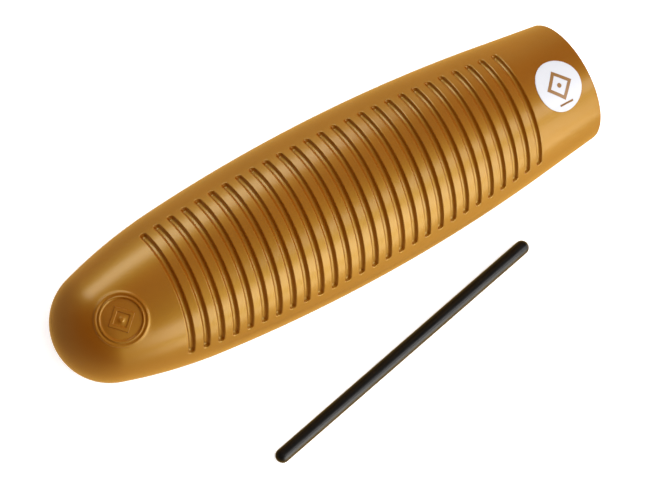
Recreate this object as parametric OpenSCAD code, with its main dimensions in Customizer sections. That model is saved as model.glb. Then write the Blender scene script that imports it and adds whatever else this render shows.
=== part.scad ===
// Hand guiro: a hollow bullet-shaped shell in two bonded halves, with a row of cut
// grooves along its front, and the loose stick that is scraped across them.
// Units are millimetres. +X runs along the body from its closed nose to its open mouth,
// +Z points up through the grooves, and z = 0 is the surface that the body and the
// stick lie on. The origin is under the middle of everything, stick included.

/* [Body] */
// Length from the closed nose to the open mouth
body_len = 380; // [340:1:420]
// Thickness of the moulded wall
wall = 3.5; // [3:0.1:5]
// Radius of the round nose
nose_r = 36.8; // [34:0.1:40]
// Radius along the length of the shoulder behind the nose
shoulder_r = 340; // [300:5:380]
// Radius along the length of the long belly
belly_r = 1115; // [1000:5:1200]
// Length of the straight stretch at the widest part, which the body rests on
waist_len = 40; // [20:2:50]
// Slope in degrees where the nose meets the shoulder
nose_slope = 16.9; // [16:0.1:18]
// Slope in degrees where the shoulder meets the belly
shoulder_slope = 5.6; // [5:0.1:6]
// Slope in degrees of the straight taper to the mouth
mouth_slope = 6.9; // [6:0.1:8]
// Rounding on both edges of the mouth
rim_round = 1.2; // [0.6:0.1:1.5]

/* [Bonded seam] */
// Angle that the tongue of the lower shell stands up past the seam
tongue_turn = 2.2; // [1:0.1:3]
// Glue gap round the tongue
glue_gap = 0.1; // [0.05:0.01:0.2]
// Extra angle that the slot is deeper than the tongue is high
slack_turn = 0.2; // [0.1:0.1:0.5]
// Distance from the inside of the wall to the tongue
tongue_inset = 0.3; // [0.2:0.1:0.6]
// Distance from the nose to where the tongue starts
tongue_start = 16; // [12:1:40]
// Distance that the tongue stops short of the mouth
tongue_stop = 4; // [3:0.5:8]

/* [Grooves] */
// Number of grooves
groove_count = 27; // [9:2:27]
// Distance from one groove to the next
groove_pitch = 10; // [8:0.1:10]
// Distance from the nose to the first groove
groove_first = 69.2; // [68:0.1:90]
// Width of a groove
groove_w = 4.6; // [3:0.1:5]
// Depth of a groove
groove_depth = 2.4; // [1:0.1:2.6]
// Radius of the corners of a groove's floor
groove_round = 2; // [0.5:0.1:2.2]
// Angle from the top of the body to either end of the middle groove
groove_reach = 56.5; // [40:0.5:60]
// How much further round the body the first groove reaches than the middle one
groove_fan = 2.8; // [0:0.1:4]
// Angle by which the grooves lean off square to the body
groove_lean = 4.2; // [0:0.1:8]

/* [Medallion] */
// Distance from the nose to the middle of the moulded medallion
medal_x = 31.5; // [28:0.5:40]
// Diameter of the medallion
medal_d = 34; // [24:0.5:36]
// Width of the outer bead
outer_bead_w = 2.2; // [1:0.1:3]
// Width of the inner bead
inner_bead_w = 1.5; // [1:0.1:3]
// Width of the valley between the two beads
bead_gap = 0.6; // [0.3:0.1:1]
// Height of the beads above the body
bead_h = 0.8; // [0.2:0.1:1]
// Depth of the field inside the beads
field_depth = 0.5; // [0.1:0.1:0.6]

/* [Badge] */
// Distance from the nose to the middle of the badge
badge_x = 356; // [340:0.5:358]
// Diameter of the badge
badge_d = 32.8; // [20:0.2:34]
// Thickness of the badge
badge_t = 0.3; // [0.2:0.05:0.6]
// Angle of the badge round the body, from the top towards the +Y side
badge_turn = 2; // [-5:1:5]
// Thickness of the foil emblem on the badge
foil_t = 0.1; // [0.05:0.05:0.2]

/* [Emblem] */
// Side of the diamond outline on the badge
emblem_side = 14; // [8:0.5:14]
// Width of the emblem's lines
emblem_line = 2.2; // [1:0.1:3]
// Diameter of the dot in the middle of the emblem
emblem_dot = 3.1; // [2:0.1:4]
// Size of the medallion's diamond as a share of the badge's
medal_share = 0.9; // [0.5:0.05:1]
// Length of the plain bar beside the emblem on the badge
bar_len = 10.4; // [6:0.2:12]
// Width of the plain bar
bar_w = 1.3; // [0.6:0.1:2]
// Distance from the middle of the badge to the bar
bar_out = 11.8; // [10:0.2:12]

/* [Scraper stick] */
// Length over the round ends
stick_len = 223; // [180:1:260]
// Diameter of the stick
stick_d = 9.4; // [6:0.1:12]
// Distance from the nose to the middle of the stick, along the body
stick_x = 220; // [150:1:240]
// Distance from the body's axis to the middle of the stick
stick_out = 105; // [95:1:140]
// Angle between the stick and the body
stick_turn = 11.5; // [0:0.5:12]

/* [Hidden] */
$fn = 96;
gold = [0.72, 0.50, 0.16];
satin_black = [0.06, 0.055, 0.05];
// A length well past everything, for shapes that trim others
reach = 700;
// Height of the groove cutters over the floor corners, and of the upright trimming shapes
cutter_h = 6;
trim_h = 16;

// Profile points are [radius, distance from the nose]. A slope is positive where the
// body still widens, and a centre lies back from the surface along its normal.
function normal(slope) = [cos(slope), -sin(slope)];
nose_c = [0, nose_r];
shoulder_c = nose_c + (nose_r - shoulder_r) * normal(nose_slope);
belly_c = shoulder_c + (shoulder_r - belly_r) * normal(shoulder_slope);
axis_h = belly_c[0] + belly_r;
waist_turn = atan(waist_len / 2 / belly_r);

// Where the three arcs and the taper meet, at depth d under the outer surface
function nose_end(d) = nose_c + (nose_r - d) * normal(nose_slope);
function shoulder_end(d) = shoulder_c + (shoulder_r - d) * normal(shoulder_slope);
function belly_end(d) = belly_c + (belly_r - d) * normal(-mouth_slope);
function taper_r(x, d) = belly_end(d)[0] - (x - belly_end(d)[1]) * tan(mouth_slope);

// Outer radius and slope of the body at distance x from the nose
function arc_r(c, r, x) = c[0] + sqrt(r * r - (x - c[1]) * (x - c[1]));
function waist_r(x) =
    axis_h - max(0, abs(x - belly_c[1]) - waist_len / 2) * tan(2 * waist_turn);
function body_r(x) = x < nose_end(0)[1] ? arc_r(nose_c, nose_r, x)
    : x < shoulder_end(0)[1] ? arc_r(shoulder_c, shoulder_r, x)
    : abs(x - belly_c[1]) < waist_len ? waist_r(x)
    : x < belly_end(0)[1] ? arc_r(belly_c, belly_r, x)
    : taper_r(x, 0);
function body_slope(x) = x < nose_end(0)[1] ? asin((nose_c[1] - x) / nose_r)
    : x < shoulder_end(0)[1] ? asin((shoulder_c[1] - x) / shoulder_r)
    : x < belly_end(0)[1] ? asin((belly_c[1] - x) / belly_r)
    : -mouth_slope;

last_groove = (groove_count - 1) / 2;
stick_r = stick_d / 2;
stick_half = stick_len / 2 - stick_r;
// Moves the body's axis so that body and stick together are centred on y = 0
axis_y = (stick_out + stick_half * sin(stick_turn) + stick_r - axis_h) / 2;

// Everything on the body is drawn with its nose at the origin and its axis along +X
module on_body() {
    translate([-body_len / 2, axis_y, axis_h]) children();
}

// Points along an arc about c, from slope a0 up to but not including slope a1
function arc(c, r, a0, a1, steps) =
    [for (k = [0 : steps - 1]) c + r * normal(a0 + (a1 - a0) * k / steps)];

// Both ends of the straight waist. The belly's arc runs into them along its tangents.
function waist(d) =
    [for (side = [-1, 1]) belly_c + (belly_r - d) * [1, side * tan(waist_turn)]];

// Outline of the body at depth d under its surface, from the nose to distance end
function outline(d, end) = concat(
    arc(nose_c, nose_r - d, 90, nose_slope, 12),
    arc(shoulder_c, shoulder_r - d, nose_slope, shoulder_slope, 8),
    arc(belly_c, belly_r - d, shoulder_slope, 2 * waist_turn, 7),
    [belly_c + (belly_r - d) * normal(2 * waist_turn)],
    waist(d),
    arc(belly_c, belly_r - d, -2 * waist_turn, -mouth_slope, 9),
    [belly_end(d), [taper_r(end, d), end]]);

// Rounded corner of the mouth at depth d. side is 1 on the outside and -1 on the inside.
function rim(d, side) = let (
    x = body_len - rim_round,
    c = [taper_r(x, d) - side * rim_round / cos(mouth_slope), x],
    turn = (side > 0 ? 90 - mouth_slope : 90 + mouth_slope) / 4
) [for (k = [0 : 4]) c + rim_round * [side * sin(k * turn), cos(k * turn)]];

function backwards(points) = [for (k = [len(points) - 1 : -1 : 0]) points[k]];
function but_last(points) = [for (k = [0 : len(points) - 2]) points[k]];

// Section of the whole wall, with a rounded rim
module wall_section() {
    polygon(concat(but_last(outline(0, body_len)), backwards(rim(0, 1)), rim(wall, -1),
        backwards(but_last(outline(wall, body_len)))));
}

module solid_of_depth(d, end = body_len) {
    rotate([90, 0, 90]) rotate_extrude() polygon(concat(outline(d, end), [[0, end]]));
}

// Turns a section about the body's axis, from one angle over the +Y side to another
module turned(from, to) {
    rotate([90, 0, 90]) rotate([0, 0, from]) rotate_extrude(angle = to - from) children();
}

// Section between two depths of the wall, where the tongue and its slot run
module seam_section(d0, d1, grow) {
    intersection() {
        polygon(concat(outline(d0, body_len), backwards(outline(d1, body_len))));
        translate([0, tongue_start - grow])
            square([reach, body_len - tongue_stop - tongue_start + 2 * grow]);
    }
}

// A slab across the whole body, between two heights over its axis
module slab(z0, z1, x0, x1) {
    translate([x0, -reach / 2, z0]) cube([x1 - x0, reach, z1 - z0]);
}

// Groove number i: where its middle is, and the angle it reaches to either side
function groove_x(i) = groove_first + i * groove_pitch;
function groove_half(i) = groove_reach + groove_fan * (1 - i / last_groove);

// Section of the cutter for a groove: straight walls down to a floor with round corners
module groove_section(floor_r) {
    for (side = [-1, 1])
        translate([floor_r + groove_round, side * (groove_w / 2 - groove_round)])
            circle(r = groove_round, $fn = 48);
    translate([floor_r, groove_round - groove_w / 2])
        square([groove_round, groove_w - 2 * groove_round]);
    translate([floor_r + groove_round, -groove_w / 2]) square([cutter_h, groove_w]);
}

// Cutter for groove i, leaning in its own plane. The sideways drift keeps the depth
// even where the body tapers.
module groove(i) {
    x = groove_x(i);
    floor_r = body_r(x) - groove_depth;
    drift = tan(body_slope(x)) * floor_r * sin(groove_lean);
    translate([x, drift, 0]) rotate([0, 0, -groove_lean])
        turned(90 - groove_half(i), 90 + groove_half(i)) groove_section(floor_r);
}

// Cuts grooves 0 to i into children(), one after the other
module cut_grooves(i) {
    difference() {
        if (i > 0) cut_grooves(i - 1) children();
        else children();
        groove(i);
    }
}

// Stands children() on the surface at distance x from the nose, along its normal. turn
// is the angle from the top of the body towards its +Y side.
module on_surface(x, turn = 0) {
    rotate([-turn, 0, 0]) translate([x, 0, body_r(x)]) rotate([0, -body_slope(x), 0])
        children();
}

// A tube along the local normal, which trims relief to a ring
module ring_prism(outer_d, inner_d) {
    difference() {
        cylinder(h = trim_h, d = outer_d, center = true);
        cylinder(h = trim_h + 1, d = inner_d, center = true);
    }
}

// Plain emblem: a diamond outline with a dot in it
module emblem_shape(side) {
    rotate(45) difference() {
        square(side, center = true);
        square(side - 2 * emblem_line, center = true);
    }
    circle(d = emblem_dot);
}

module medallion_beads() {
    valley_d = medal_d - 2 * outer_bead_w;
    inner_d = valley_d - 2 * bead_gap;
    intersection() {
        solid_of_depth(-bead_h);
        on_surface(medal_x) union() {
            ring_prism(medal_d, valley_d);
            ring_prism(inner_d, inner_d - 2 * inner_bead_w);
        }
    }
}

module medallion_field() {
    field_d = medal_d - 2 * (outer_bead_w + bead_gap + inner_bead_w);
    difference() {
        on_surface(medal_x) cylinder(h = trim_h, d = field_d, center = true);
        solid_of_depth(field_depth);
    }
}

module medallion_emblem() {
    intersection() {
        solid_of_depth(0);
        on_surface(medal_x) linear_extrude(height = trim_h, center = true)
            emblem_shape(emblem_side * medal_share);
    }
}

// Upper half of the body, with the grooves and the medallion
module top_shell() {
    color(gold) on_body() cut_grooves(groove_count - 1) {
        difference() {
            turned(0, 180) wall_section();
            medallion_field();
            for (seam = [0, 180])
                turned(seam - tongue_turn - slack_turn, seam + tongue_turn + slack_turn)
                    seam_section(wall / 2, wall + 1, glue_gap);
        }
        intersection() {
            union() {
                medallion_beads();
                medallion_emblem();
            }
            difference() {
                slab(1, reach, -1, medal_x + medal_d);
                solid_of_depth(wall / 2);
            }
        }
    }
}

// Lower half of the body: the smooth back, with the tongue that the upper half is glued to
module bottom_shell() {
    color(gold) on_body() {
        turned(180, 360) wall_section();
        for (seam = [0, 180])
            turned(seam - tongue_turn, seam + tongue_turn)
                seam_section(wall / 2 + glue_gap, wall - tongue_inset, 0);
    }
}

// Thin round label that follows the curve of the body near the mouth
module badge() {
    color("white") on_body() difference() {
        intersection() {
            solid_of_depth(-badge_t);
            on_surface(badge_x, badge_turn)
                cylinder(h = trim_h, d = badge_d, center = true);
        }
        solid_of_depth(0, body_len + 1);
    }
}

// Foil emblem and a plain bar pressed on the badge
module badge_emblem() {
    color(gold) on_body() difference() {
        intersection() {
            solid_of_depth(-badge_t - foil_t);
            on_surface(badge_x, badge_turn)
                linear_extrude(height = trim_h, center = true) {
                    emblem_shape(emblem_side);
                    translate([0, -bar_out]) square([bar_len, bar_w], center = true);
                }
        }
        solid_of_depth(-badge_t, body_len + 1);
    }
}

// Loose round-ended stick, lying beside the body
module scraper_stick() {
    color(satin_black) translate([stick_x - body_len / 2, axis_y - stick_out, stick_r])
        rotate([0, 0, stick_turn]) rotate([0, 90, 0]) rotate_extrude()
            intersection() {
                union() {
                    square([stick_d, 2 * stick_half], center = true);
                    for (end = [-1, 1]) translate([0, end * stick_half]) circle(d = stick_d);
                }
                translate([0, -stick_len]) square([stick_d, 2 * stick_len]);
            }
}

top_shell();
bottom_shell();
badge();
badge_emblem();
scraper_stick();
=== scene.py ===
"""Looks of the hand guiro: a gold two-piece body with cut grooves, a round label with a foil
emblem, and a loose black scraping stick.

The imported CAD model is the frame. Lengths here are in millimetres, as in the part's own
drawing, and become metres when a mesh is made. x runs from the closed nose to the open
mouth, and phi is the angle round the body from its top towards its +Y side."""
import math

import bmesh
import bpy
import numpy as np
from mathutils import Matrix, Vector


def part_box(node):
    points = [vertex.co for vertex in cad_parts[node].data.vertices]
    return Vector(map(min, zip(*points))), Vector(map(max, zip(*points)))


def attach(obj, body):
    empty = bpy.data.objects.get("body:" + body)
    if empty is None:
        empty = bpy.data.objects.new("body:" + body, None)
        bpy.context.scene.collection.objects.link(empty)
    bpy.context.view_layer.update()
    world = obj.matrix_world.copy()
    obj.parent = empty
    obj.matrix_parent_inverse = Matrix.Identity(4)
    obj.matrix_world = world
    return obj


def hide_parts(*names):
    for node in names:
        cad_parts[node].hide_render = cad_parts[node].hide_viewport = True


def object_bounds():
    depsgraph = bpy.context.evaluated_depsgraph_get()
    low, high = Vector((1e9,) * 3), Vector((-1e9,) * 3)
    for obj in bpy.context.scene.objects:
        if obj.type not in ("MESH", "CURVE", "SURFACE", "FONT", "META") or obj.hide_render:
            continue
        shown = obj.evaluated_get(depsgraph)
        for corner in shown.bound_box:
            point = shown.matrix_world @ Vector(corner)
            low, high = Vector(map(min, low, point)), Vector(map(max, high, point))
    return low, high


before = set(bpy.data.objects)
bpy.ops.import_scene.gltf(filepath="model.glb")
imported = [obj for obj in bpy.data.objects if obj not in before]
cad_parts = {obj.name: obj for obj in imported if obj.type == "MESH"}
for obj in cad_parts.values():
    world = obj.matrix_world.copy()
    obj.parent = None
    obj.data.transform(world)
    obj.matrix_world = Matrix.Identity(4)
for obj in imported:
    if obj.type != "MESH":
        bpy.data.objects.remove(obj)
cad_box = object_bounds()

MM = 0.001

# ---- Driving dimensions, as on the drawing ------------------------------------------------
BODY_LEN, WALL = 380.0, 3.5
NOSE_R, SHOULDER_R, BELLY_R = 36.8, 340.0, 1115.0
NOSE_SLOPE, SHOULDER_SLOPE, MOUTH_SLOPE = np.radians([16.9, 5.6, 6.9])
RIM_ROUND = 1.2

GROOVE_COUNT, GROOVE_PITCH, GROOVE_FIRST = 27, 10.0, 69.2
GROOVE_W, GROOVE_DEPTH = 4.6, 2.4
GROOVE_REACH, GROOVE_FAN, GROOVE_LEAN = np.radians([56.5, 2.8, 4.2])
# Radius of a groove's lip, how far the lip and the band round it reach past the groove's own
# width, and the radius in the corners of its floor. Then the slope of its walls.
LIP_ROUND, LIP_OUT, LIP_BAND, FLOOR_ROUND = 0.8, 0.45, 0.12, 1.6
WALL_PITCH = math.radians(68)

TONGUE_TURN, SLOT_TURN = np.radians([2.2, 2.4])
TONGUE_START, TONGUE_STOP = 16.0, 4.0
# Shares of the wall, from the outside: side of the slot, foot and tip of the tongue
SLOT_SIDE, TONGUE_FOOT, TONGUE_TIP = 0.5, (0.53, 0.92), (0.55, 0.9)
# Size of the broken edges of the seam, and the widest angle that they may take up
EDGE_BREAK, EDGE_TURN = 0.22, 0.02

MEDAL_X, MEDAL_D = 31.5, 34.0
OUTER_BEAD_W, INNER_BEAD_W, BEAD_GAP, BEAD_H, FIELD_DEPTH = 2.2, 1.5, 0.6, 0.8, 0.5
# Heights of the beads' feet, the inner bead's height as a share of the outer one's, and the
# power that makes the section of a bead fuller than a sine
OUTER_FOOT, INNER_FOOT, INNER_SHARE, BEAD_POWER = 0.12, 0.1, 0.85, 0.75
# The soft start of the medallion as (distance outside it, height), and the side of its field
# as (distance inside the inner bead, share of the depth)
MEDAL_START = ((1.4, 0), (0.5, 0.03))
FIELD_SIDE = ((0.25, 0.8), (0.6, 1), (1.2, 1))

BADGE_X, BADGE_TURN, BADGE_D, BADGE_T, FOIL_T = 356.0, math.radians(2), 32.8, 0.3, 0.1
BADGE_EDGE = 0.15
EMBLEM_SIDE, EMBLEM_LINE, EMBLEM_DOT, MEDAL_SHARE = 14.0, 2.2, 3.1, 0.9
# On the medallion: height of the emblem, and half the width of its sloping edges
EMBLEM_TOP, EMBLEM_EDGE = 0.1, 0.35
BAR_LEN, BAR_W, BAR_OUT = 10.4, 1.3, 11.8

STICK_LEN, STICK_D = 223.0, 9.4

# ---- The frame: where the body's axis and the stick lie -----------------------------------
top_lo, top_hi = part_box("top_shell")
NOSE = np.array([top_lo.x, (top_lo.y + top_hi.y) / 2, top_lo.z]) / MM
stick_lo, stick_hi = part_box("scraper_stick")


# ---- The body's profile -------------------------------------------------------------------
def normal(slope):
    """Outward normal of the profile as (radius, x), where the body widens at a slope."""
    return np.array([math.cos(slope), -math.sin(slope)])


nose_c = np.array([0.0, NOSE_R])
shoulder_c = nose_c + (NOSE_R - SHOULDER_R) * normal(NOSE_SLOPE)
belly_c = shoulder_c + (SHOULDER_R - BELLY_R) * normal(SHOULDER_SLOPE)
nose_end = nose_c + NOSE_R * normal(NOSE_SLOPE)
shoulder_end = shoulder_c + SHOULDER_R * normal(SHOULDER_SLOPE)
belly_end = belly_c + BELLY_R * normal(-MOUTH_SLOPE)


def profile(x):
    """Outer radius and slope of the body at distance x from the nose."""
    x = np.asarray(x, float)
    on = [x < nose_end[1], x < shoulder_end[1], x < belly_end[1]]
    arcs = [(nose_c, NOSE_R), (shoulder_c, SHOULDER_R), (belly_c, BELLY_R)]
    rise = [np.clip((c[1] - x) / r, -1, 1) for c, r in arcs]
    radius = [c[0] + r * np.sqrt(1 - s * s) for (c, r), s in zip(arcs, rise)]
    taper = belly_end[0] - (x - belly_end[1]) * math.tan(MOUTH_SLOPE)
    slope = np.select(on, [np.arcsin(s) for s in rise], -MOUTH_SLOPE)
    return np.select(on, radius, taper), slope


def place(x, phi, height=0.0):
    """Points at a height over the body's surface, as (..., 3) in the shared frame."""
    radius, slope = profile(x)
    along = x - height * np.sin(slope)
    out = radius + height * np.cos(slope)
    return NOSE + np.stack(np.broadcast_arrays(along, out * np.sin(phi), out * np.cos(phi)), -1)


def smooth(t):
    """0 to 1 with level ends."""
    t = np.clip(t, 0, 1)
    return t * t * (3 - 2 * t)


# The stretch of the grooves, and the stretch that the medallion takes up
FIRST_EDGE = GROOVE_FIRST - GROOVE_PITCH / 2
LAST_EDGE = FIRST_EDGE + GROOVE_COUNT * GROOVE_PITCH
MEDAL_ROOM = (11.0, 52.0)
LEAN_ROUNDS = 8


def leaned(u, phi):
    """x of the mesh line that crosses the top at u. The lines lean with the grooves. How far
    depends on the radius at x, so x is found in rounds."""
    fade = smooth((u - MEDAL_ROOM[1]) / (FIRST_EDGE - MEDAL_ROOM[1]))
    fade = fade * (1 - smooth((u - LAST_EDGE) / (BODY_LEN - RIM_ROUND - LAST_EDGE)))
    x = u
    for _ in range(LEAN_ROUNDS):
        x = u + fade * math.tan(GROOVE_LEAN) * profile(x)[0] * np.sin(phi)
    return x


# ---- Mesh making --------------------------------------------------------------------------
# In metres: points nearer than this are one, and edges shorter than this are dropped
WELD, SPECK = 2e-6, 1e-7


class Skin:
    """Grids of points that are welded into one closed mesh."""

    def __init__(self):
        self.points, self.faces, self.kinds, self.count = [], [], [], 0

    def grid(self, points, closed=False, keep=None, kind=0):
        """Quads over points[row][column]. keep says which quads are wanted."""
        rows, columns = points.shape[:2]
        index = self.count + np.arange(rows * columns).reshape(rows, columns)
        if closed:
            index = np.hstack([index, index[:, :1]])
        quads = np.stack([index[:-1, :-1], index[:-1, 1:], index[1:, 1:], index[1:, :-1]], -1)
        quads = quads[keep] if keep is not None else quads.reshape(-1, 4)
        self.points.append(points.reshape(-1, 3))
        self.faces.append(quads)
        self.kinds.append(np.full(len(quads), kind))
        self.count += rows * columns

    def build(self, name, materials, sharp=40):
        """Welds the grids, drops what collapsed, and returns the object."""
        mesh = bpy.data.meshes.new(name)
        points = np.concatenate(self.points) * MM
        faces = np.concatenate(self.faces)
        mesh.from_pydata(points.tolist(), [], faces.tolist())
        mesh.polygons.foreach_set("material_index", np.concatenate(self.kinds).astype(np.int32))
        bm = bmesh.new()
        bm.from_mesh(mesh)
        bmesh.ops.remove_doubles(bm, verts=bm.verts, dist=WELD)
        bmesh.ops.dissolve_degenerate(bm, edges=bm.edges, dist=SPECK)
        bmesh.ops.delete(bm, geom=[v for v in bm.verts if not v.link_faces], context="VERTS")
        bmesh.ops.recalc_face_normals(bm, faces=bm.faces)
        bm.to_mesh(mesh)
        bm.free()
        mesh.polygons.foreach_set("use_smooth", [True] * len(mesh.polygons))
        mesh.set_sharp_from_angle(angle=math.radians(sharp))
        for material in materials:
            mesh.materials.append(material)
        piece = bpy.data.objects.new(name, mesh)
        bpy.context.scene.collection.objects.link(piece)
        return piece


def steps(start, stop, count):
    """count even steps from start, without stop."""
    return np.linspace(start, stop, count, endpoint=False)


# ---- Mesh lines shared by both halves of the body -----------------------------------------
# Quads along the body: over the pole, the medallion, the gap after it, the cell of each
# groove, the stretch before the mouth and the rounded corner there
POLE_STEPS, MEDAL_STEPS, GAP_STEPS = 10, 28, 8
CELL_STEPS, MOUTH_STEPS, RIM_STEPS = 6, 21, 5
# Quads round a half: over the cells, which reach this far from its middle, and beside them
REACH_STEPS, SIDE_STEPS = 50, 10
CELL_HALF = math.radians(64)

pole_angles = steps(math.pi / 2, math.asin(1 - MEDAL_ROOM[0] / NOSE_R), POLE_STEPS)
stations = np.concatenate([
    NOSE_R * (1 - np.sin(pole_angles)),
    steps(*MEDAL_ROOM, MEDAL_STEPS),
    steps(MEDAL_ROOM[1], FIRST_EDGE, GAP_STEPS),
    steps(FIRST_EDGE, LAST_EDGE, GROOVE_COUNT * CELL_STEPS),
    np.linspace(LAST_EDGE, BODY_LEN - RIM_ROUND, MOUTH_STEPS + 1),
])
FIRST_CELL = POLE_STEPS + MEDAL_STEPS + GAP_STEPS


def rim_arc(depth, side):
    """Rounded corner of the mouth as (x, radius). side is 1 outside and -1 inside."""
    turn = math.pi / 2 - side * MOUTH_SLOPE
    k = np.linspace(0, 1, RIM_STEPS + 1)[1:] * turn
    radius = belly_end[0] - depth / math.cos(MOUTH_SLOPE)
    radius = radius - (BODY_LEN - RIM_ROUND - belly_end[1]) * math.tan(MOUTH_SLOPE)
    radius = radius - side * RIM_ROUND / math.cos(MOUTH_SLOPE)
    x = BODY_LEN - RIM_ROUND + RIM_ROUND * np.sin(k)
    return x, radius + side * RIM_ROUND * np.cos(k)


rim_outer, rim_inner = rim_arc(0, 1), rim_arc(WALL, -1)


def wall_point(station, phi, share):
    """A point in the wall: share is 0 on the outside and 1 on the inside. Stations past
    the last one run round the rounded corners of the mouth."""
    if station < len(stations):
        return place(leaned(stations[station], phi), phi, -share * WALL)
    k = station - len(stations)
    x = rim_outer[0][k] + share * (rim_inner[0][k] - rim_outer[0][k])
    radius = rim_outer[1][k] + share * (rim_inner[1][k] - rim_outer[1][k])
    phi = np.asarray(phi, float)
    x = np.broadcast_to(x, phi.shape)
    return NOSE + np.stack([x, radius * np.sin(phi), radius * np.cos(phi)], -1)


STATION_COUNT = len(stations) + len(rim_outer[0])
station_r = np.array([
    np.linalg.norm((wall_point(j, np.array(0.0), 0) - NOSE)[1:]) for j in range(STATION_COUNT)])


def shell_lines(middle):
    """Angles of the mesh lines of the half that is centred on an angle."""
    side = steps(-math.pi / 2, -CELL_HALF, SIDE_STEPS)
    return middle + np.concatenate([side, np.linspace(-CELL_HALF, CELL_HALF, REACH_STEPS + 1),
                                    -side[::-1]])


def seam_section(station, lower):
    """The edge of a half where it meets the other one, from the outer surface to the inner
    one, as (share of the wall, angle past the seam). The lower half has a tongue, and the
    upper half is cut away on the inside to take it."""
    x = wall_point(station, np.array(0.0), 0)[0] - NOSE[0]
    has_tongue = TONGUE_START < x < BODY_LEN - TONGUE_STOP
    radius = max(station_r[station], 1e-3)
    edge = min(EDGE_BREAK / radius, EDGE_TURN)
    cut = edge * radius / WALL
    outside = [(0, -edge), (0.3 * cut, -0.3 * edge), (cut, 0)]
    if lower:
        rise = TONGUE_TURN if has_tongue else 0
        tongue = [(TONGUE_FOOT[0], 0), (TONGUE_TIP[0], rise),
                  (TONGUE_TIP[1], rise), (TONGUE_FOOT[1], 0)]
        return outside + tongue + [(1 - share, turn) for share, turn in outside[::-1]]
    corner = (SLOT_SIDE, -SLOT_TURN) if has_tongue else (1, -edge)
    return outside + [(SLOT_SIDE, 0), corner, (1, -SLOT_TURN)]


def half_shell(skin, middle, lower, keep=None):
    """Walls of one half: outer skin, inner skin, mouth rim and seam faces."""
    lines = shell_lines(middle)
    edges = [seam_section(j, lower) for j in range(STATION_COUNT)]

    def skin_rows(share, end):
        rows = []
        for j in range(STATION_COUNT):
            phi = lines.copy()
            phi[0] -= edges[j][end][1]
            phi[-1] += edges[j][end][1]
            rows.append(wall_point(j, phi, share))
        return np.array(rows)

    outer, inner = skin_rows(0, 0), skin_rows(1, -1)
    skin.grid(outer, keep=keep)
    skin.grid(inner, kind=1)
    skin.grid(np.stack([outer[-1], inner[-1]]))
    for side in (-1, 1):
        seam = middle + side * math.pi / 2
        faces = np.array([[wall_point(j, np.array(seam + side * turn), share)
                           for share, turn in edges[j]] for j in range(STATION_COUNT)])
        skin.grid(faces)
        close_end(skin, faces[-1])


def close_end(skin, section):
    """Closes the flat end of a seam face at the mouth, as a fan about the section's start."""
    hub = np.repeat(section[:1], len(section) - 1, axis=0)
    skin.grid(np.stack([hub, section[1:]]))


# ---- Grooves ------------------------------------------------------------------------------
LIP_STEPS, FLOOR_STEPS, CORNER_STEPS = 5, 6, 3
# How far the outer rings of a cell have gone from its border to the groove itself
CELL_BLEND = (0, 0.4, 0.75)


def groove_section():
    """(distances from the groove's centre line, depths) across one side of a groove: from the
    surface over a rounded lip, down a steep wall and round a corner to the floor."""
    lip = np.linspace(0, WALL_PITCH, LIP_STEPS + 1)
    floor = np.linspace(WALL_PITCH, 0, FLOOR_STEPS + 1)
    lip_at = GROOVE_W / 2 + LIP_OUT
    sine, drop = math.sin(WALL_PITCH), 1 - math.cos(WALL_PITCH)
    wall = (GROOVE_DEPTH - (LIP_ROUND + FLOOR_ROUND) * drop) / sine
    floor_at = lip_at - (LIP_ROUND + FLOOR_ROUND) * sine - wall * math.cos(WALL_PITCH)
    out = np.concatenate([[lip_at + LIP_BAND], lip_at - LIP_ROUND * np.sin(lip),
                          floor_at + FLOOR_ROUND * np.sin(floor), [0]])
    depth = np.concatenate([[0], LIP_ROUND * (1 - np.cos(lip)),
                            GROOVE_DEPTH - FLOOR_ROUND * (1 - np.cos(floor)), [GROOVE_DEPTH]])
    return out, depth


def border(u, phi):
    """The points round a rectangle of mesh lines, as (u, phi), starting at its high-u side."""
    pairs = [(u[-1], p) for p in phi[:-1]] + [(x, phi[-1]) for x in u[:0:-1]]
    pairs += [(u[0], p) for p in phi[:0:-1]] + [(x, phi[0]) for x in u[:-1]]
    return np.array(pairs)


def groove(skin, i):
    """One groove with round ends, as nested rings inside its cell of mesh lines."""
    u0 = GROOVE_FIRST + i * GROOVE_PITCH
    radius, slope = profile(u0)
    first = FIRST_CELL + i * CELL_STEPS
    across = stations[first:first + CELL_STEPS + 1]
    around = np.linspace(-CELL_HALF, CELL_HALF, REACH_STEPS + 1)
    frame_ring = border(across, around)
    last = (GROOVE_COUNT - 1) / 2
    spine = radius * (GROOVE_REACH + GROOVE_FAN * (1 - i / last)) - GROOVE_W / 2
    turn = CELL_STEPS + 2 * CORNER_STEPS
    run = REACH_STEPS - 2 * CORNER_STEPS
    knots = np.cumsum([CORNER_STEPS, run, turn, run, turn])
    count = np.arange(len(frame_ring))
    count = np.where(count < CORNER_STEPS, count + len(frame_ring), count)
    at = np.interp(count, knots, np.array([-1, 1, 1, -1, -1]) * spine)
    heading = np.interp(count, knots, np.array([0, 0, 1, 1, 2]) * math.pi)

    def ring(out):
        u = u0 + out * np.cos(heading) * math.cos(slope) / math.cos(GROOVE_LEAN)
        return np.stack([u, (at + out * np.sin(heading)) / radius], -1)

    outs, depths = groove_section()
    rings = [frame_ring + t * (ring(outs[0]) - frame_ring) for t in CELL_BLEND]
    rings = np.array(rings + [ring(out) for out in outs])
    depths = np.concatenate([np.zeros(len(CELL_BLEND)), depths])[:, None]
    u, phi = rings[..., 0], rings[..., 1]
    skin.grid(place(leaned(u, phi), phi, -depths), closed=True)


# ---- Round relief on the surface ----------------------------------------------------------
# x under a point of a tangent plane lies in this span, which is halved in each round
SEARCH_SPAN, SEARCH_ROUNDS = 30.0, 40
# How far the outer rings of the medallion's room have gone from its border to the medallion
MEDAL_BLEND = (0, 0.2, 0.4, 0.6, 0.8)


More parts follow.
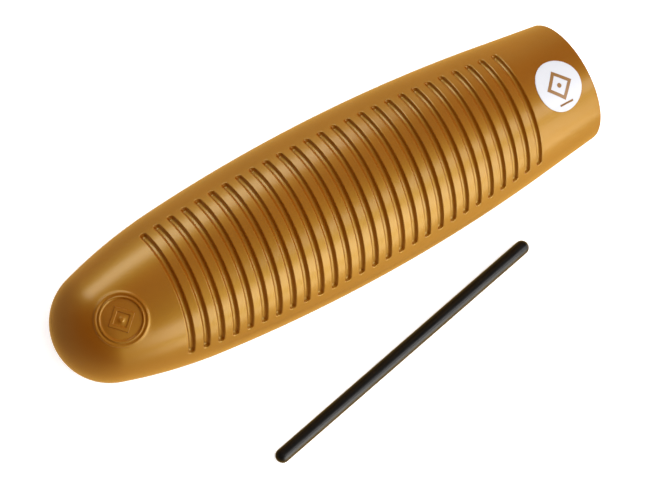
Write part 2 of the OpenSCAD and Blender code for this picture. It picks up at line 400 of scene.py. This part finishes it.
def on_tangent(x0, turn, p, q):
    """(x, phi) of the surface under the point (p, q) of the tangent plane at x0: p runs
    along the body and q round it."""
    r0, slope = profile(x0)
    low = np.full(np.shape(p), x0 - SEARCH_SPAN)
    high = np.full(np.shape(p), x0 + SEARCH_SPAN)
    for _ in range(SEARCH_ROUNDS):
        x = (low + high) / 2
        rise = np.sqrt(np.maximum(profile(x)[0] ** 2 - q * q, 0)) - r0
        short = (x - x0) * math.cos(slope) + rise * math.sin(slope) < p
        low, high = np.where(short, x, low), np.where(short, high, x)
    return x, turn + np.arcsin(np.clip(q / profile(x)[0], -1, 1))


def diamond(angle):
    """Distance to a diamond's edge in a direction, where its corners are at distance 1."""
    return 1 / (np.abs(np.cos(angle)) + np.abs(np.sin(angle)))


def bead(start, width, foot, height, count):
    """Rings over a bead, from its outside inwards, as (radius, height)."""
    t = np.linspace(0, 1, count)
    rise = height - foot
    return [(start - width * k, foot + rise * math.sin(math.pi * k) ** BEAD_POWER) for k in t]


def relief_rings(rings, angle):
    """Points of rings given as (radius, height, how far the ring is a diamond)."""
    radius, height, square = [np.array(v)[:, None] for v in zip(*rings)]
    reach = radius * (1 + square * (diamond(angle)[None] - 1))
    return reach * np.cos(angle), reach * np.sin(angle), height * np.ones_like(reach)


def emblem_rings(corner, low, high, edge):
    """Diamond outline and dot, raised from low to high, from the outside to the middle."""
    inner = corner - EMBLEM_LINE * math.sqrt(2)
    dot = EMBLEM_DOT / 2
    middle = low + (high - low) * 0.6
    return [(corner + edge, low, 1), (corner, middle, 1), (corner - edge, high, 1),
            (inner + edge, high, 1), (inner, middle, 1), (inner - edge, low, 1),
            (dot + edge * 1.4, low, 0.1), (dot, middle, 0), (dot - edge, high, 0),
            (dot / 2, high, 0), (0, high, 0)]


def medal_rings():
    """The relief of the medallion as (radius, height, how far the ring is a diamond)."""
    outer = MEDAL_D / 2
    inner = outer - OUTER_BEAD_W - BEAD_GAP
    field = inner - INNER_BEAD_W
    rings = [(outer + out, height) for out, height in MEDAL_START]
    rings += bead(outer, OUTER_BEAD_W, OUTER_FOOT, BEAD_H, 9)
    rings += bead(inner, INNER_BEAD_W, INNER_FOOT, BEAD_H * INNER_SHARE, 8)
    rings += [(field - inset, -FIELD_DEPTH * share) for inset, share in FIELD_SIDE]
    rings = [(radius, height, 0) for radius, height in rings]
    corner = EMBLEM_SIDE * MEDAL_SHARE / math.sqrt(2)
    between = (field - FIELD_SIDE[-1][0] + corner) / 2 + 0.3
    rings += [(between, -FIELD_DEPTH, 0.5)]
    return rings + emblem_rings(corner, -FIELD_DEPTH, EMBLEM_TOP, EMBLEM_EDGE)


def medallion(skin):
    """Two beads round a sunk field with the plain emblem, moulded on the nose."""
    across = stations[POLE_STEPS:POLE_STEPS + MEDAL_STEPS + 1]
    half = MEDAL_STEPS // 2
    step = 2 * CELL_HALF / REACH_STEPS
    around = np.arange(-half, half + 1) * step
    frame_ring = border(across, around)
    count = len(frame_ring)
    angle = (np.arange(count) / count - 1 / 8) * 2 * math.pi
    p, q, height = relief_rings(medal_rings(), angle)
    x, phi = on_tangent(MEDAL_X, 0, p, q)
    mixes = [frame_ring + t * (np.stack([x[0], phi[0]], -1) - frame_ring)
             for t in MEDAL_BLEND]
    x = np.concatenate([[m[:, 0] for m in mixes], x])
    phi = np.concatenate([[m[:, 1] for m in mixes], phi])
    height = np.concatenate([np.zeros((len(mixes), count)), height])
    skin.grid(place(x, phi, height), closed=True)


def kept_quads():
    """Which quads of the upper skin stay, outside the medallion and the groove cells."""
    keep = np.ones((STATION_COUNT - 1, REACH_STEPS + 2 * SIDE_STEPS), bool)
    middle = SIDE_STEPS + REACH_STEPS // 2
    half = MEDAL_STEPS // 2
    keep[POLE_STEPS:POLE_STEPS + MEDAL_STEPS, middle - half:middle + half] = False
    last = FIRST_CELL + GROOVE_COUNT * CELL_STEPS
    keep[FIRST_CELL:last, SIDE_STEPS:SIDE_STEPS + REACH_STEPS] = False
    return keep


# ---- Materials ----------------------------------------------------------------------------
def new_material(name):
    """A node material with one Principled shader, and a function that adds nodes to it."""
    material = bpy.data.materials.new(name)
    material.use_nodes = True
    tree = material.node_tree
    shader = tree.nodes["Principled BSDF"]

    def node(kind, **inputs):
        made = tree.nodes.new(kind)
        for key, value in inputs.items():
            made.inputs[key.replace("_", " ")].default_value = value
        return made

    return material, tree, shader, node


# The middle range of a noise, where nearly all of its values lie
NOISE_LOW, NOISE_HIGH = 0.35, 0.65
# The gold sheen and the clear coat over it
SHEEN_IOR, SHEEN_TINT = 1.86, (1.0, 0.77, 0.05, 1)
COAT_ROUGHNESS = 0.25


def noise(tree, node, coords, scale, detail):
    """A noise in the piece's own coordinates, which are metres."""
    made = node("ShaderNodeTexNoise", Scale=scale, Detail=detail)
    tree.links.new(coords.outputs["Object"], made.inputs["Vector"])
    return made


def ranged(tree, node, source, low, high):
    """Spreads a noise's middle range between low and high."""
    made = node("ShaderNodeMapRange", From_Min=NOISE_LOW, From_Max=NOISE_HIGH,
                To_Min=low, To_Max=high)
    tree.links.new(source, made.inputs["Value"])
    return made.outputs["Result"]


def tinted(tree, factor, low, high):
    """A colour between low and high."""
    made = tree.nodes.new("ShaderNodeMix")
    made.data_type = "RGBA"
    made.inputs["A"].default_value = (*low, 1)
    made.inputs["B"].default_value = (*high, 1)
    tree.links.new(factor, made.inputs["Factor"])
    return made.outputs["Result"]


def bumped(tree, node, shader, layers):
    """Chains bumps of (height socket, distance in m, strength) into the shader's normal."""
    last = None
    for height, distance, strength in layers:
        bump = node("ShaderNodeBump", Distance=distance, Strength=strength)
        tree.links.new(height, bump.inputs["Height"])
        if last:
            tree.links.new(last, bump.inputs["Normal"])
        last = bump.outputs["Normal"]
    tree.links.new(last, shader.inputs["Normal"])


def gold_plastic(name, dark, light, rough_low, rough_high, coat):
    """Gold pearl paint: a red-brown body colour under a gold sheen and a clear coat, with
    fine orange peel."""
    material, tree, shader, node = new_material(name)
    coords = node("ShaderNodeTexCoord")
    cloud = noise(tree, node, coords, 22.0, 3)
    flake = noise(tree, node, coords, 2600.0, 1)
    peel = noise(tree, node, coords, 900.0, 2)
    shade = node("ShaderNodeMath")
    shade.operation = "ADD"
    tree.links.new(ranged(tree, node, cloud.outputs["Fac"], 0.0, 0.6), shade.inputs[0])
    tree.links.new(ranged(tree, node, flake.outputs["Fac"], 0.0, 0.4), shade.inputs[1])
    tree.links.new(tinted(tree, shade.outputs[0], dark, light),
                   shader.inputs["Base Color"])
    tree.links.new(ranged(tree, node, flake.outputs["Fac"], rough_low, rough_high),
                   shader.inputs["Roughness"])
    shader.inputs["IOR"].default_value = SHEEN_IOR
    shader.inputs["Specular Tint"].default_value = SHEEN_TINT
    shader.inputs["Coat Weight"].default_value = coat
    shader.inputs["Coat Roughness"].default_value = COAT_ROUGHNESS
    bumped(tree, node, shader, [(peel.outputs["Fac"], 0.00012, 0.25),
                                (flake.outputs["Fac"], 0.00003, 0.3)])
    return material


def white_vinyl():
    """Faintly cloudy white vinyl of the label."""
    material, tree, shader, node = new_material("label_vinyl")
    coords = node("ShaderNodeTexCoord")
    grain = noise(tree, node, coords, 1400.0, 2)
    cloud = noise(tree, node, coords, 60.0, 2)
    tree.links.new(tinted(tree, cloud.outputs["Fac"], (0.50, 0.50, 0.53), (0.53, 0.53, 0.56)),
                   shader.inputs["Base Color"])
    tree.links.new(ranged(tree, node, grain.outputs["Fac"], 0.36, 0.46), shader.inputs["Roughness"])
    bumped(tree, node, shader, [(grain.outputs["Fac"], 0.00004, 0.3)])
    return material


def gold_foil():
    """Dark gold print of the emblem, with a fine grain."""
    material, tree, shader, node = new_material("emblem_foil")
    coords = node("ShaderNodeTexCoord")
    grain = noise(tree, node, coords, 1800.0, 2)
    tree.links.new(tinted(tree, grain.outputs["Fac"], (0.19, 0.080, 0.008), (0.25, 0.105, 0.011)),
                   shader.inputs["Base Color"])
    tree.links.new(ranged(tree, node, grain.outputs["Fac"], 0.4, 0.5), shader.inputs["Roughness"])
    bumped(tree, node, shader, [(grain.outputs["Fac"], 0.00003, 0.3)])
    return material


def black_plastic():
    """Satin black plastic with a fine grain."""
    material, tree, shader, node = new_material("stick_plastic")
    coords = node("ShaderNodeTexCoord")
    grain = noise(tree, node, coords, 1500.0, 2)
    cloud = noise(tree, node, coords, 90.0, 3)
    tree.links.new(tinted(tree, cloud.outputs["Fac"], (0.0030, 0.0026, 0.0022),
                          (0.0050, 0.0043, 0.0037)), shader.inputs["Base Color"])
    tree.links.new(ranged(tree, node, cloud.outputs["Fac"], 0.30, 0.38), shader.inputs["Roughness"])
    shader.inputs["Specular IOR Level"].default_value = 0.25
    bumped(tree, node, shader, [(grain.outputs["Fac"], 0.00004, 0.35)])
    return material


# ---- Pieces -------------------------------------------------------------------------------
shell_gold = gold_plastic("shell_gold", (0.155, 0.029, 0.0002), (0.185, 0.037, 0.0002),
                          rough_low=0.46, rough_high=0.52, coat=0.34)
inside_gold = gold_plastic("inside_gold", (0.18, 0.06, 0.006), (0.22, 0.08, 0.008),
                           rough_low=0.55, rough_high=0.65, coat=0.0)


def make_top():
    """Upper half of the body, with the medallion and the grooves."""
    skin = Skin()
    half_shell(skin, 0, False, kept_quads())
    medallion(skin)
    for i in range(GROOVE_COUNT):
        groove(skin, i)
    piece = skin.build("top_shell_skin", [shell_gold, inside_gold])
    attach(piece, "guiro_body")
    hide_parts("top_shell")


def make_bottom():
    """Lower half of the body, the smooth back."""
    skin = Skin()
    half_shell(skin, math.pi, True)
    piece = skin.build("bottom_shell_skin", [shell_gold, inside_gold])
    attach(piece, "guiro_body")
    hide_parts("bottom_shell")


DISC_SIDES, DISC_RINGS = 96, 22


def label_disc():
    """Thin round label on the curve of the body, with a soft edge."""
    skin = Skin()
    angle = steps(0, 2 * math.pi, DISC_SIDES)
    rim, soft = BADGE_D / 2, 0.3 * BADGE_EDGE
    radius = np.concatenate([[rim, rim, rim - soft],
                             np.linspace(rim - BADGE_EDGE, 0, DISC_RINGS)])
    height = np.concatenate([[0, BADGE_T - BADGE_EDGE, BADGE_T - soft],
                             np.full(DISC_RINGS, BADGE_T)])
    under = np.linspace(rim, 0, DISC_RINGS)
    for r, h in ((radius, height), (under, np.zeros(DISC_RINGS))):
        p, q = r[:, None] * np.cos(angle), r[:, None] * np.sin(angle)
        x, phi = on_tangent(BADGE_X, BADGE_TURN, p, q)
        skin.grid(place(x, phi, h[:, None]), closed=True)
    piece = skin.build("badge_label", [white_vinyl()], sharp=60)
    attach(piece, "guiro_body")
    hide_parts("badge")


def foil_patch(skin, p, q):
    """A closed foil over a grid of tangent-plane points whose columns run round it."""
    x, phi = on_tangent(BADGE_X, BADGE_TURN, p, q)
    top = place(x, phi, BADGE_T + FOIL_T)
    under = place(x, phi, BADGE_T)
    skin.grid(top, closed=True)
    skin.grid(under, closed=True)
    skin.grid(np.stack([top[0], under[0]]), closed=True)
    skin.grid(np.stack([top[-1], under[-1]]), closed=True)


def foil_emblem():
    """Diamond outline, dot and bar of thin foil on the label."""
    skin = Skin()
    angle = steps(0, 2 * math.pi, DISC_SIDES)
    corner = EMBLEM_SIDE / math.sqrt(2)
    inner = corner - EMBLEM_LINE * math.sqrt(2)
    reach = np.linspace(corner, inner, 5)[:, None] * diamond(angle)
    foil_patch(skin, reach * np.cos(angle), reach * np.sin(angle))
    dot = np.linspace(EMBLEM_DOT / 2, 0, 5)[:, None]
    foil_patch(skin, dot * np.cos(angle), dot * np.sin(angle))
    along = np.linspace(-BAR_LEN / 2, BAR_LEN / 2, 11)
    across = np.linspace(-BAR_W / 2, BAR_W / 2, 3)
    outline = border(along, across)
    squeeze = np.linspace(1, 0, 3)[:, None]
    foil_patch(skin, outline[:, 0] * np.ones_like(squeeze), outline[:, 1] * squeeze - BAR_OUT)
    piece = skin.build("badge_emblem_foil", [gold_foil()])
    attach(piece, "guiro_body")
    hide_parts("badge_emblem")


ROD_SIDES, ROD_RINGS, DOME_RINGS = 48, 38, 10


def make_stick():
    """Round stick with domed ends, along the CAD stick's own line."""
    lo, hi = np.array(stick_lo) / MM, np.array(stick_hi) / MM
    centre = (lo + hi) / 2
    radius = STICK_D / 2
    span = (hi - lo - STICK_D)[:2]
    turn = math.atan2(span[1], span[0])
    dome = np.linspace(math.pi / 2, 0, DOME_RINGS)
    half = STICK_LEN / 2 - radius
    x = np.concatenate([-half - radius * np.sin(dome),
                        np.linspace(-half, half, ROD_RINGS + 2)[1:-1],
                        half + radius * np.sin(dome[::-1])])
    r = np.concatenate([radius * np.cos(dome), np.full(ROD_RINGS, radius),
                        radius * np.cos(dome[::-1])])
    angle = steps(0, 2 * math.pi, ROD_SIDES)
    rod = np.stack([x[:, None] * np.ones(ROD_SIDES), r[:, None] * np.cos(angle),
                    r[:, None] * np.sin(angle)], -1)
    turned = np.array(Matrix.Rotation(turn, 3, "Z"))
    skin = Skin()
    skin.grid(rod @ turned.T + centre, closed=True)
    piece = skin.build("scraper_stick_rod", [black_plastic()])
    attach(piece, "scraper")
    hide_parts("scraper_stick")


# ---- Stage, light and camera --------------------------------------------------------------
# Lengths are in metres from here on, and the lens in millimetres. The camera aims at a point
# near the middle of the body.
AIM_ALONG, AIM_ACROSS = -0.0049, -0.0195
VIEW_TILT, VIEW_LEAN, VIEW_ROLL = np.radians([21.95, 3.28, 28.08])
VIEW_DISTANCE, VIEW_LENS, VIEW_END = 2.778, 249.2, 100
# The floor reaches this far each way, this much under the object, and glows faintly
FLOOR_REACH, FLOOR_GAP, FLOOR_GLOW = 40, 0.0002, 0.5

WHITE, WARM = (1, 1, 1), (1.0, 0.85, 0.58)
OVERHEAD_POWER = 5.2
OVERHEAD_SPREAD, OVERHEAD_TILT = math.radians(100), math.radians(18)
# The world is grey above and has a warm glow below. Heights of a direction where its glow
# starts and is full, then its bright side, how far directions lie towards that side where
# the glow is least and full, and its least share.
SKY_GREY, GLOW_COLOUR = (0.025, 0.025, 0.025, 1), (0.98, 0.58, 0.12, 1)
GLOW_START, GLOW_FULL = 0.12, -0.30
BRIGHT_SIDE, LEAST_AT, FULL_AT, LEAST_SHARE = (0.8, -0.6, 0), -0.7, 0.3, 0.2
WORLD_STRENGTH = 1.9

body_middle = Vector((top_lo.x + top_hi.x, top_lo.y + top_hi.y, 2 * top_lo.z)) / 2


def make_camera():
    """A long lens over the nose end, rolled so that the body rises to the right."""
    back = Vector((-math.tan(VIEW_TILT), math.tan(VIEW_LEAN), 1)).normalized()
    along = Vector((1, 0, 0))
    along = (along - along.dot(back) * back).normalized()
    right = math.cos(VIEW_ROLL) * along - math.sin(VIEW_ROLL) * back.cross(along)
    up = back.cross(right)
    camera = bpy.data.objects.new("camera", bpy.data.cameras.new("camera"))
    aim = body_middle + Vector((AIM_ALONG, AIM_ACROSS, 0))
    spin = Matrix((right, up, back)).transposed()
    camera.matrix_world = Matrix.Translation(aim + back * VIEW_DISTANCE) @ spin.to_4x4()
    camera.data.lens = VIEW_LENS
    camera.data.clip_end = VIEW_END
    bpy.context.scene.collection.objects.link(camera)
    bpy.context.scene.camera = camera


def make_floor():
    """A wide sheet of white paper that the body doesn't reflect."""
    material, tree, shader, node = new_material("floor_paper")
    coords = node("ShaderNodeTexCoord")
    grain = noise(tree, node, coords, 3.0, 2)
    tree.links.new(tinted(tree, grain.outputs["Fac"], (0.79, 0.79, 0.79), (0.81, 0.81, 0.81)),
                   shader.inputs["Base Color"])
    shader.inputs["Roughness"].default_value = 0.9
    shader.inputs["Specular IOR Level"].default_value = 0.1
    shader.inputs["Emission Strength"].default_value = FLOOR_GLOW
    mesh = bpy.data.meshes.new("floor")
    signs = [(-1, -1), (1, -1), (1, 1), (-1, 1)]
    corners = [(x * FLOOR_REACH, y * FLOOR_REACH, 0) for x, y in signs]
    mesh.from_pydata(corners, [], [(0, 1, 2, 3)])
    mesh.materials.append(material)
    floor = bpy.data.objects.new("floor", mesh)
    floor.location.z = cad_box[0].z - FLOOR_GAP
    bpy.context.scene.collection.objects.link(floor)
    floor.visible_glossy = False


def softbox(name, offset, size, power, colour=WHITE):
    """A rectangular area light that faces the body from an offset to its middle and only
    shows as a sheen on it. size is (along X, across)."""
    light = bpy.data.lights.new(name, "AREA")
    light.shape = "RECTANGLE"
    light.size, light.size_y = size
    light.energy = power
    light.color = colour
    lamp = bpy.data.objects.new(name, light)
    back = Vector(offset).normalized()
    right = Vector((1, 0, 0))
    right = (right - right.dot(back) * back).normalized()
    spin = Matrix((right, back.cross(right), back)).transposed()
    lamp.matrix_world = Matrix.Translation(body_middle + Vector(offset)) @ spin.to_4x4()
    lamp.visible_camera = False
    lamp.visible_diffuse = False
    bpy.context.scene.collection.objects.link(lamp)


def make_world():
    """Dim above, with a warm glow below that the flanks of the body reflect. The glow is
    weaker towards the nose and the far side. The camera sees plain white instead."""
    world = bpy.data.worlds.new("studio")
    world.use_nodes = True
    tree = world.node_tree
    background = tree.nodes["Background"]
    coords = tree.nodes.new("ShaderNodeTexCoord")
    parts = tree.nodes.new("ShaderNodeSeparateXYZ")
    low = tree.nodes.new("ShaderNodeMapRange")
    facing = tree.nodes.new("ShaderNodeVectorMath")
    facing.operation = "DOT_PRODUCT"
    facing.inputs[1].default_value = BRIGHT_SIDE
    side = tree.nodes.new("ShaderNodeMapRange")
    glow = tree.nodes.new("ShaderNodeMath")
    glow.operation = "MULTIPLY"
    blend = tree.nodes.new("ShaderNodeMix")
    path = tree.nodes.new("ShaderNodeLightPath")
    paper = tree.nodes.new("ShaderNodeMix")
    paper.data_type = "RGBA"
    paper.inputs["B"].default_value = (*WHITE, 1)
    low.inputs["From Min"].default_value = GLOW_START
    low.inputs["From Max"].default_value = GLOW_FULL
    side.inputs["From Min"].default_value = LEAST_AT
    side.inputs["From Max"].default_value = FULL_AT
    side.inputs["To Min"].default_value = LEAST_SHARE
    blend.data_type = "RGBA"
    blend.inputs["A"].default_value = SKY_GREY
    blend.inputs["B"].default_value = GLOW_COLOUR
    background.inputs["Strength"].default_value = WORLD_STRENGTH
    tree.links.new(coords.outputs["Generated"], parts.inputs["Vector"])
    tree.links.new(parts.outputs["Z"], low.inputs["Value"])
    tree.links.new(coords.outputs["Generated"], facing.inputs[0])
    tree.links.new(facing.outputs["Value"], side.inputs["Value"])
    tree.links.new(low.outputs["Result"], glow.inputs[0])
    tree.links.new(side.outputs["Result"], glow.inputs[1])
    tree.links.new(glow.outputs["Value"], blend.inputs["Factor"])
    tree.links.new(path.outputs["Is Camera Ray"], paper.inputs["Factor"])
    tree.links.new(blend.outputs["Result"], paper.inputs["A"])
    tree.links.new(paper.outputs["Result"], background.inputs["Color"])
    bpy.context.scene.world = world


def make_light():
    """Softboxes for the sheen, a wide overhead lamp for the rest, and the world."""
    softbox("softbox_far", (0.0, 1.05, 0.28), (1.1, 0.40), 11)
    softbox("softbox_near", (0.31, -0.95, 0.62), (1.15, 0.50), 15.5)
    softbox("softbox_low", (0.35, -1.1, 0.14), (1.05, 0.26), 8.5, WARM)
    softbox("softbox_high", (0.75, -0.45, 1.05), (1.1, 0.36), 9)
    softbox("softbox_end", (1.2, -0.5, 0.06), (0.8, 0.3), 4)
    overhead = bpy.data.lights.new("overhead", "SUN")
    overhead.angle = OVERHEAD_SPREAD
    overhead.energy = OVERHEAD_POWER
    lamp = bpy.data.objects.new("overhead", overhead)
    lamp.rotation_euler.y = OVERHEAD_TILT
    lamp.visible_glossy = False
    lamp.visible_camera = False
    bpy.context.scene.collection.objects.link(lamp)
    make_world()
    bpy.context.scene.view_settings.view_transform = "Standard"


make_camera()
make_floor()
make_light()
make_top()
make_bottom()
label_disc()
foil_emblem()
make_stick()
